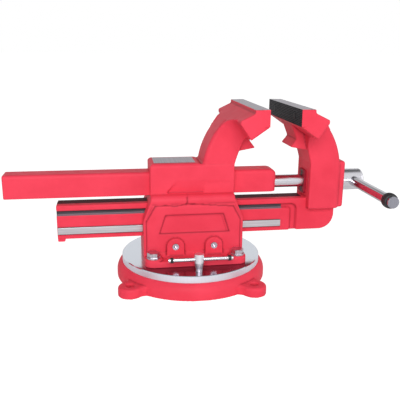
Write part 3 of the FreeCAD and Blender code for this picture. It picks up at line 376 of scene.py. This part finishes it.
machined = makeSteel("machinedSteel", 1, (0.42, 0.43, 0.44, 1), (0.60, 0.61, 0.62, 1), (0.28, 0.40))
greyIron = makeDull("greyIron", (0.16, 0.16, 0.165, 1), (0.24, 0.24, 0.25, 1),
                    (0.5, 0.7), 500.0, 0.0002, 0.6)
blackSteel = makeDull("blackSteel", (0.018, 0.018, 0.02, 1), (0.035, 0.035, 0.038, 1),
                      (0.34, 0.50), 600.0, 0.0001, 0.7)
hardened = makeDull("hardenedPin", (0.010, 0.009, 0.011, 1), (0.022, 0.020, 0.024, 1),
                    (0.5, 0.6), 700.0, 0.0001, 0.4)
rubber = makeDull("blackRubber", (0.010, 0.010, 0.011, 1), (0.018, 0.018, 0.02, 1),
                  (0.45, 0.62), 500.0, 0.0001)
print("materials made")


# Mesh helpers
doubles = 0.002 * mm         # points closer than this are one point


def finishPiece(name, bm, material, body, replaced, smooth=True):
    mesh = bpy.data.meshes.new(name)
    for face in bm.faces:
        face.smooth = smooth
    bm.to_mesh(mesh)
    bm.free()
    piece = bpy.data.objects.new(name, mesh)
    bpy.context.scene.collection.objects.link(piece)
    mesh.materials.append(material)
    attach(piece, body)
    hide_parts(*replaced)
    return piece


def mergedCopy(nodeName):  # a solid's mesh with its loose triangles joined
    bm = bmesh.new()
    bm.from_mesh(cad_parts[nodeName].data)
    bmesh.ops.remove_doubles(bm, verts=bm.verts, dist=doubles)
    return bm


def sharpen(bm, degrees):  # edges sharper than the angle stay hard in smooth shading
    limit = math.radians(degrees)
    for edge in bm.edges:
        if len(edge.link_faces) == 2:
            edge.smooth = edge.calc_face_angle(0) < limit


def modified(bm, name, kind, settings):  # a bmesh with one modifier applied
    mesh = bpy.data.meshes.new(name)
    bm.to_mesh(mesh)
    bm.free()
    raw = bpy.data.objects.new(name, mesh)
    bpy.context.scene.collection.objects.link(raw)
    modifier = raw.modifiers.new("step", kind)
    for key, value in settings.items():
        setattr(modifier, key, value)
    evaluated = raw.evaluated_get(bpy.context.evaluated_depsgraph_get())
    result = bmesh.new()
    result.from_mesh(evaluated.to_mesh())
    evaluated.to_mesh_clear()
    bpy.data.objects.remove(raw)
    bpy.data.meshes.remove(mesh)
    return result


def markCreaseShade(bm, calm):  # how hollow the surface is at each point, kept for the painted shade in the hollows
    bm.normal_update()
    layer = bm.verts.layers.float.new("creaseShade")
    for vert in bm.verts:
        near = [edge.other_vert(vert).co for edge in vert.link_edges]
        hollow = (sum(near, Vector()) / len(near) - vert.co).dot(vert.normal) / castings["voxel"]
        strength = castings["calmCrease"] if calm[0] < vert.co.z < calm[1] else castings["creaseShade"]
        vert[layer] = max(0.0, min(1.0, (hollow - castings["flat"]) * strength))
    for step in range(castings["creaseSteps"]):
        softer = {}
        for vert in bm.verts:
            values = [edge.other_vert(vert)[layer] for edge in vert.link_edges]
            softer[vert] = max(0.5 * vert[layer] + 0.5 * sum(values) / len(values), 0.8 * vert[layer])
        for vert, value in softer.items():
            vert[layer] = value


# A casting with slightly soft edges and painted shade in its hollows. Calm gives the levels between which the
# painted shade stays lighter
def castCopy(nodeName, name, material, body, engrave=None, calm=(1.0, 1.0)):
    bm = mergedCopy(nodeName)
    grid = {"mode": "VOXEL", "voxel_size": castings["voxel"], "adaptivity": 0.0}
    bm = modified(bm, name + "Voxels", "REMESH", grid)
    for step in range(castings["smoothing"]):
        bmesh.ops.smooth_vert(bm, verts=bm.verts, factor=0.5,
                              use_axis_x=True, use_axis_y=True, use_axis_z=True)
    if engrave:
        engrave(bm)
    markCreaseShade(bm, calm)
    count = 2 * len(bm.faces)
    if count > castings["most"]:
        bm = modified(bm, name + "Fewer", "DECIMATE", {"ratio": castings["most"] / count})
    piece = finishPiece(name, bm, material, body, [nodeName])
    print("casting", name, count, len(piece.data.polygons))


def spunProfile(points, along, centre, steps):  # a closed turned body from (place, radius) points
    bm = bmesh.new()
    along, out = Vector(along), Vector((0, 0, 1))
    verts = [bm.verts.new(along * place + out * radius) for place, radius in points]
    for first, second in zip(verts, verts[1:] + verts[:1]):
        bm.edges.new((first, second))
    bmesh.ops.spin(bm, geom=bm.verts[:] + bm.edges[:], cent=(0, 0, 0), axis=along, angle=math.tau,
                   steps=steps, use_merge=True)
    bmesh.ops.remove_doubles(bm, verts=bm.verts, dist=doubles)
    bmesh.ops.recalc_face_normals(bm, faces=bm.faces)
    bmesh.ops.translate(bm, verts=bm.verts, vec=centre)
    return bm


def joined(parts):  # several bmeshes as one
    whole = bmesh.new()
    for part in parts:
        mesh = bpy.data.meshes.new("part")
        part.to_mesh(mesh)
        part.free()
        whole.from_mesh(mesh)
        bpy.data.meshes.remove(mesh)
    return whole


# Castings
castings = {
    "voxel": 1.2 * mm,       # grid of the soft skin
    "smoothing": 2,
    "most": 180000,          # triangles of one casting
    "flat": 0.02,            # hollows shallower than this get no painted shade
    "creaseShade": 9.0,           # how fast the painted shade darkens a hollow
    "calmCrease": 3.0,       # the same between the calm levels
    "calmLevels": (139 * mm, 152 * mm),    # the gusset above the body's roll
    "creaseSteps": 2,        # how often the painted shade spreads to its neighbours
}
grooves = {
    "width": 1.3 * mm,
    "depth": 1.0 * mm,
    "levels": (50 * mm, 140 * mm),         # along Z
    "reach": 78 * mm,        # along X
    "rollLevel": 128 * mm,
    "panelSide": 40 * mm,    # under the roll the side faces lie further out than this
    "rollSide": 33 * mm,     # and this from the roll upwards
    # (X, Z) points of the lines, in mm
    "panel": ((-74.3, 50), (-74.3, 100.5), (-60.8, 124.4), (-44, 125.3), (-30, 124.0), (-20, 125.2),
              (-10.6, 126.6), (8, 125.6), (39, 123.2), (60.3, 121.8), (71.8, 100), (71.8, 50)),
    "plaque": ((-44.8, 109.9), (44.8, 109.9), (53.9, 81.0), (-53.9, 81.0), (-44.8, 109.9)),
    "notch": ((-10.6, 139.5), (-12.1, 127.5)),   # a cast notch across the roll
}


def lineDistance(x, z, line):  # from a point to the nearest part of a line
    best = 1.0
    for (firstX, firstZ), (lastX, lastZ) in zip(line, line[1:]):
        spanX, spanZ = (lastX - firstX) * mm, (lastZ - firstZ) * mm
        awayX, awayZ = x - firstX * mm, z - firstZ * mm
        share = max(0.0, min(1.0, (awayX * spanX + awayZ * spanZ) / (spanX * spanX + spanZ * spanZ)))
        best = min(best, math.hypot(awayX - share * spanX, awayZ - share * spanZ))
    return best


def engraveBody(bm):  # thin grooves round the panel and the plaque on both sides
    lowest, highest = grooves["levels"]
    lines = grooves["panel"], grooves["plaque"], grooves["notch"]
    for vert in bm.verts:
        x, y, z = vert.co
        side = grooves["panelSide"] if z < grooves["rollLevel"] else grooves["rollSide"]
        if abs(y) < side or abs(x) > grooves["reach"] or z < lowest or z > highest:
            continue
        away = min(lineDistance(x, z, line) for line in lines)
        if away < grooves["width"]:
            vert.co.y -= math.copysign(grooves["depth"] * (1 - away / grooves["width"]), y)


castCopy("base_casting", "baseCasting", plainPaint, "base")
castCopy("fixed_jaw_body", "fixedBody", bodyPaint, "swivel_head", engraveBody, castings["calmLevels"])
castCopy("moving_jaw", "movingJaw", jawPaint, "moving_jaw")
castCopy("slide_bar", "slideBar", barPaint, "moving_jaw")
castCopy("rear_guard", "rearGuard", plainPaint, "swivel_head")
castCopy("front_guard", "frontGuard", plainPaint, "swivel_head")


# Jaw plates with a grid of small teeth
teeth = {
    "pitch": 2.5 * mm,
    "depth": 0.5 * mm,
    "inside": 1.6 * mm,      # how far the back reaches into the casting
}


def toothedPlate(nodeName, name, material, body, side):  # the teeth look to +X or -X, as side says
    low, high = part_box(nodeName)
    face, back = (low.x, high.x) if side < 0 else (high.x, low.x)
    width, height = high.y - low.y, high.z - low.z
    bm = bmesh.new()
    bmesh.ops.create_grid(bm, x_segments=round(width / teeth["pitch"]),
                          y_segments=round(height / teeth["pitch"]), size=0.5)
    bmesh.ops.scale(bm, vec=(width, height, 1), verts=bm.verts)
    border = [edge for edge in bm.edges if edge.is_boundary]
    teethFaces = bm.faces[:]
    skirt = bmesh.ops.extrude_edge_only(bm, edges=border)["geom"]
    backVerts = [item for item in skirt if isinstance(item, bmesh.types.BMVert)]
    bmesh.ops.translate(bm, verts=backVerts, vec=(0, 0, -teeth["inside"] - abs(face - back)))
    backEdges = [item for item in skirt if isinstance(item, bmesh.types.BMEdge)]
    bmesh.ops.contextual_create(bm, geom=backEdges)
    bmesh.ops.poke(bm, faces=teethFaces, offset=teeth["depth"], center_mode="MEAN",
                   use_relative_offset=False)
    for vert in bm.verts:
        x, y, z = vert.co
        vert.co = (face + side * (z - teeth["depth"]), (low.y + high.y) / 2 + x, (low.z + high.z) / 2 + y)
    bmesh.ops.recalc_face_normals(bm, faces=bm.faces)
    finishPiece(name, bm, material, body, [nodeName], smooth=False)


toothedPlate("fixed_jaw_plate", "fixedPlate", fixedPlatePaint, "swivel_head", 1)
toothedPlate("moving_jaw_plate", "movingPlate", movingPlatePaint, "moving_jaw", -1)
print("jaw plates made")


# Spindle with a real thread, lengths in mm
thread = {
    "from": -155.0,
    "to": 100.0,
    "pitch": 6.0,
    "steps": 28,             # for one turn
    "profile": ((0, 8.1), (1.1, 8.1), (1.9, 9.85), (4.1, 9.85), (4.9, 8.1), (6.0, 8.1)),
    "runOut": 0.7,           # turns left off at the plain end
    "coreRadius": 8.2,
    "pointRadius": 6.5,
    "point": 2.0,            # length of the chamfer at the rear end
    "overlap": 0.2,
    "coreSteps": 40,
    "merge": 0.005,
    "hardEdge": 35,          # in degrees
}


def makeSpindle():
    bm = mergedCopy("spindle")
    loose = [vert for vert in bm.verts if vert.co.x < (thread["to"] - 0.5) * mm]
    bmesh.ops.delete(bm, geom=loose, context="VERTS")
    helix = bmesh.new()
    verts = [helix.verts.new(((thread["from"] + x) * mm, 0, radius * mm)) for x, radius in thread["profile"]]
    edges = [helix.edges.new(pair) for pair in zip(verts, verts[1:])]
    turns = (thread["to"] - thread["from"]) / thread["pitch"] - thread["runOut"]
    steps = round(turns * thread["steps"])
    bmesh.ops.spin(helix, geom=verts + edges, cent=(0, 0, 0), axis=(1, 0, 0),
                   angle=math.tau * steps / thread["steps"],
                   dvec=(thread["pitch"] * mm / thread["steps"], 0, 0), steps=steps)
    bmesh.ops.remove_doubles(helix, verts=helix.verts, dist=thread["merge"] * mm)
    bmesh.ops.recalc_face_normals(helix, faces=helix.faces)
    bmesh.ops.translate(helix, verts=helix.verts, vec=(0, 0, spindleZ))
    rear, front = thread["from"] * mm, (thread["to"] + thread["overlap"]) * mm
    coreRadius = thread["coreRadius"] * mm
    core = spunProfile([(rear, 0), (rear, thread["pointRadius"] * mm),
                        ((thread["from"] + thread["point"]) * mm, coreRadius),
                        (front, coreRadius), (front, 0)],
                       (1, 0, 0), (0, 0, spindleZ), thread["coreSteps"])
    whole = joined([bm, helix, core])
    sharpen(whole, thread["hardEdge"])
    finishPiece("spindleThreaded", whole, chromeX, "spindle", ["spindle"])


makeSpindle()


# Rubber rings with round edges
handleRings = {
    "straight": 0.5,         # share of the side wall before the round part
    "arcSteps": 8,
    "spinSteps": 48,
    "hardEdge": 40,
}


def makeHandleRings():
    low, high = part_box("handle_rings")
    outer = (high.z - low.z) / 2
    places = sorted(vert.co.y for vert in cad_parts["handle_rings"].data.vertices)
    middle = (places[0] + places[-1]) / 2
    nearRing = places[0], max(place for place in places if place < middle)
    farRing = min(place for place in places if place > middle), places[-1]
    parts = []
    for ringLow, ringHigh in (nearRing, farRing):
        half = (ringHigh - ringLow) / 2
        straight = handleRings["straight"] * (outer - handleRadius)
        rounded = outer - handleRadius - straight
        points = [(-half, handleRadius)]
        for step in range(handleRings["arcSteps"] + 1):
            angle = math.pi * step / handleRings["arcSteps"]
            points.append((-half * math.cos(angle), handleRadius + straight + rounded * math.sin(angle)))
        points.append((half, handleRadius))
        centre = (handleX, (ringLow + ringHigh) / 2, spindleZ)
        parts.append(spunProfile(points, (0, 1, 0), centre, handleRings["spinSteps"]))
    whole = joined(parts)
    sharpen(whole, handleRings["hardEdge"])
    finishPiece("handleRings", whole, rubber, "handle_bar", ["handle_rings"])


makeHandleRings()
print("spindle and rings made")


# Bolts of the body: the solids' bolts with chamfered heads
boltHeads = {
    "chamfer": 0.8 * mm,
    "segments": 2,
    "reach": 0.05 * mm,      # how close to the top an edge has to be
    "hardEdge": 35,
}


def makeBodyBolts():
    bm = mergedCopy("body_bolts")
    top = max(vert.co.z for vert in bm.verts)
    heads = [edge for edge in bm.edges
             if all(abs(vert.co.z - top) < boltHeads["reach"] for vert in edge.verts)
             and len(edge.link_faces) == 2 and edge.calc_face_angle(0) > math.radians(30)]   # no seams
    bmesh.ops.bevel(bm, geom=heads, offset=boltHeads["chamfer"], affect="EDGES",
                    segments=boltHeads["segments"], profile=0.5, material=-1, clamp_overlap=True)
    sharpen(bm, boltHeads["hardEdge"])
    finishPiece("bodyBoltsCrowned", bm, zinc, "swivel_head", ["body_bolts"])


makeBodyBolts()


# Solids that keep their shape
nodeMaterials = {
    "swivel_disc": discSteel,
    "pivot_bolt": zinc,
    "pivot_washer": zinc,
    "pivot_nut": zinc,
    "body_washers": zinc,
    "gib_screws": zinc,
    "thrust_washer": zinc,
    "lock_nut": machined,
    "slide_gib": machined,
    "spindle_nut": greyIron,
    "housing_screws": blackSteel,
    "slide_screws": blackSteel,
    "stop_screw": blackSteel,
    "keeper_screws": blackSteel,
    "fixed_plate_pins": hardened,
    "moving_plate_pins": hardened,
    "slide_stop": barePaint,
    "keeper_plate": keeperShadedPaint,
    "handle_bar": chrome,
    "handle_end_caps": chromeEnd,
    "lock_screw": brightSteel,
    "lock_bar": chromeX,
    "lock_bar_tips": chromeX,
    "lock_bar_rings": rubber,
}
for nodeName, material in nodeMaterials.items():
    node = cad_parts[nodeName]
    node.data.materials.clear()
    node.data.materials.append(material)
print("frame dressed")


# Floor, lights and camera
lighting = {
    "floor": 0.86,
    "floorGlow": 0.62,       # share of glow that the camera sees in the floor
    "floorStrength": 1.5,
    "floorInGloss": 0.25,
    "horizon": 0.58,
    "zenith": 0.24,
    "glossyHorizon": 0.84,   # what gloss and metal see: bright walls, dark ceiling towards the back
    "glossyZenith": 0.15,
    "ceilingTilt": (0.90, 0.43),           # shares of Z and Y
    "ceilingFade": (0.75, 0.86),
    "aim": (0, 0, 0.15),
}
lamps = {
    "keyLight": {"place": (-0.35, -2.0, 1.05), "size": (1.4, 1.1), "power": 33.0},
    "fillLight": {"place": (1.9, -1.1, 0.8), "size": (0.9, 1.2), "power": 6.0},
}
viewpoint = {
    "focal": 560.03,         # in pixels of the photograph
    "picture": 400,
    "sensor": 36.0,
    "yaw": 8.93,
    "pitch": 15.21,
    "roll": 0.47,
    "place": (-0.1200, -0.8595, 0.3568),
}


def makeFloor():
    bm = bmesh.new()
    bmesh.ops.create_grid(bm, x_segments=1, y_segments=1, size=30.0)
    mesh = bpy.data.meshes.new("floor")
    bm.to_mesh(mesh)
    bm.free()
    floor = bpy.data.objects.new("floor", mesh)
    bpy.context.scene.collection.objects.link(floor)
    material, tree, shader = newMaterial("floorWhite")
    shader.inputs["Base Color"].default_value = (lighting["floor"],) * 3 + (1,)
    shader.inputs["Roughness"].default_value = 0.9
    shader.inputs["Specular IOR Level"].default_value = 0.1
    glow = tree.nodes.new("ShaderNodeEmission")
    glow.inputs["Strength"].default_value = lighting["floorStrength"]
    mix = tree.nodes.new("ShaderNodeMixShader")
    path = tree.nodes.new("ShaderNodeLightPath")
    glossy = maths(tree, "MULTIPLY", path.outputs["Is Glossy Ray"], lighting["floorInGloss"])
    seen = maths(tree, "MAXIMUM", path.outputs["Is Camera Ray"], glossy)
    tree.links.new(maths(tree, "MULTIPLY", seen, lighting["floorGlow"]), mix.inputs[0])
    tree.links.new(shader.outputs[0], mix.inputs[1])
    tree.links.new(glow.outputs[0], mix.inputs[2])
    tree.links.new(mix.outputs[0], tree.nodes["Material Output"].inputs["Surface"])
    mesh.materials.append(material)


def makeWorld():
    world = bpy.data.worlds.new("studio")
    bpy.context.scene.world = world
    world.use_nodes = True
    tree = world.node_tree
    background = tree.nodes["Background"]
    background.inputs["Color"].default_value = (1, 1, 1, 1)
    way = separated(tree, tree.nodes.new("ShaderNodeTexCoord").outputs["Generated"])
    sky = spread(tree, way[2], lighting["horizon"], lighting["zenith"])
    shareZ, shareY = lighting["ceilingTilt"]
    tilted = maths(tree, "ADD", maths(tree, "MULTIPLY", way[2], shareZ),
                   maths(tree, "MULTIPLY", way[1], shareY))
    glossySky = spread(tree, tilted, lighting["glossyHorizon"], lighting["glossyZenith"],
                       *lighting["ceilingFade"])
    path = tree.nodes.new("ShaderNodeLightPath")
    sky = mixValue(tree, path.outputs["Is Glossy Ray"], sky, glossySky)
    seen = maths(tree, "MAXIMUM", path.outputs["Is Camera Ray"], path.outputs["Is Transmission Ray"])
    tree.links.new(maths(tree, "MAXIMUM", seen, sky), background.inputs["Strength"])


def softBox(name, place, size, power):
    lamp = bpy.data.lights.new(name, "AREA")
    lamp.shape = "RECTANGLE"
    lamp.size, lamp.size_y = size
    lamp.energy = power
    holder = bpy.data.objects.new(name, lamp)
    bpy.context.scene.collection.objects.link(holder)
    holder.location = place
    away = Vector(place) - Vector(lighting["aim"])
    holder.rotation_euler = away.to_track_quat("Z", "Y").to_euler()


def makeCamera():
    yaw, pitch, roll = (math.radians(viewpoint[key]) for key in ("yaw", "pitch", "roll"))
    forward = Vector((math.sin(yaw) * math.cos(pitch), math.cos(yaw) * math.cos(pitch), -math.sin(pitch)))
    right = Vector((math.cos(yaw), -math.sin(yaw), 0))
    up = right.cross(forward)
    rolledRight = right * math.cos(roll) + up * math.sin(roll)
    rolledUp = up * math.cos(roll) - right * math.sin(roll)
    lens = bpy.data.cameras.new("camera")
    lens.sensor_width = viewpoint["sensor"]
    lens.lens = viewpoint["focal"] * viewpoint["sensor"] / viewpoint["picture"]
    camera = bpy.data.objects.new("camera", lens)
    bpy.context.scene.collection.objects.link(camera)
    turn = Matrix((rolledRight, rolledUp, -forward)).transposed().to_4x4()
    camera.matrix_world = Matrix.Translation(viewpoint["place"]) @ turn
    bpy.context.scene.camera = camera


makeFloor()
makeWorld()
for lampName, lamp in lamps.items():
    softBox(lampName, **lamp)
makeCamera()
bpy.context.scene.view_settings.view_transform = "Standard"
print("lights and camera set")
